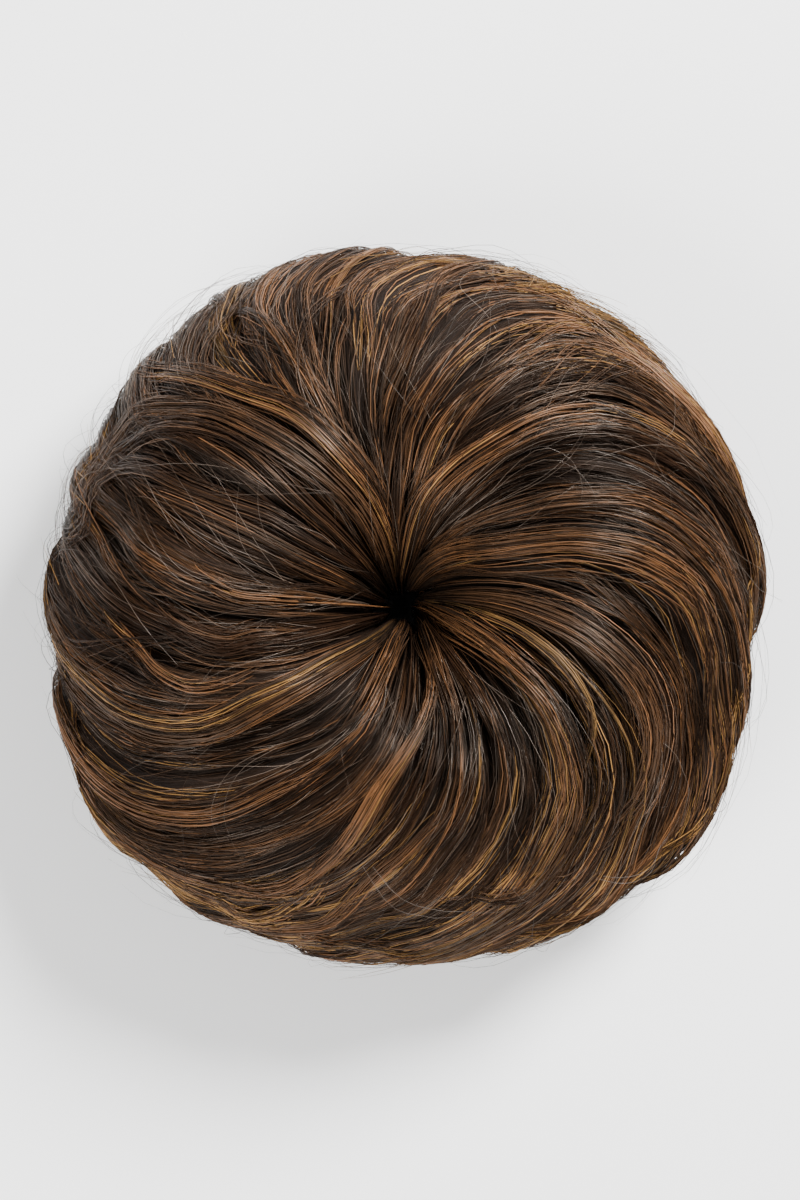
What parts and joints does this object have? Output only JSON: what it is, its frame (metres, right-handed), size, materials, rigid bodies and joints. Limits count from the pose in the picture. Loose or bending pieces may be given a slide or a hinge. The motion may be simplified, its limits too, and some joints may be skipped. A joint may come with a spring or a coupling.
{
  "type": "top knot hairpiece",
  "caption": "Round top knot hairpiece: locks of brown, copper and golden hair swirl round a small hole, over a hidden elastic that grips the wearer's own bun.",
  "frame": {"origin": "on the axis of the hole that the locks swirl round, in the plane of the flat underside that the bun lies on", "axes": "+Z out of the crown, away from the wearer's head; +X and +Y are the picture's right and up, seen from straight above"},
  "size_m": [0.1246, 0.1235, 0.0509],
  "materials": {
    "dark_hair": "satin hair fibre",
    "chestnut_hair": "satin hair fibre",
    "copper_hair": "satin hair fibre",
    "golden_hair": "satin hair fibre",
    "elastic": "matte knitted elastic"
  },
  "bodies": {
    "root": {"hair_core": "dark_hair", "elastic_band": "elastic", "lock_01": "copper_hair", "lock_02": "copper_hair", "lock_03": "dark_hair", "lock_04": "golden_hair", "lock_05": "chestnut_hair", "lock_06": "dark_hair", "lock_07": "chestnut_hair", "lock_08": "copper_hair", "lock_09": "chestnut_hair", "lock_10": "dark_hair", "lock_11": "dark_hair", "lock_12": "copper_hair", "lock_13": "dark_hair", "lock_14": "golden_hair", "lock_15": "dark_hair", "lock_16": "copper_hair", "lock_17": "chestnut_hair", "lock_18": "dark_hair", "lock_19": "golden_hair", "lock_20": "chestnut_hair", "lock_21": "copper_hair", "lock_22": "golden_hair", "lock_23": "chestnut_hair", "lock_24": "dark_hair"}
  },
  "joints": []
}
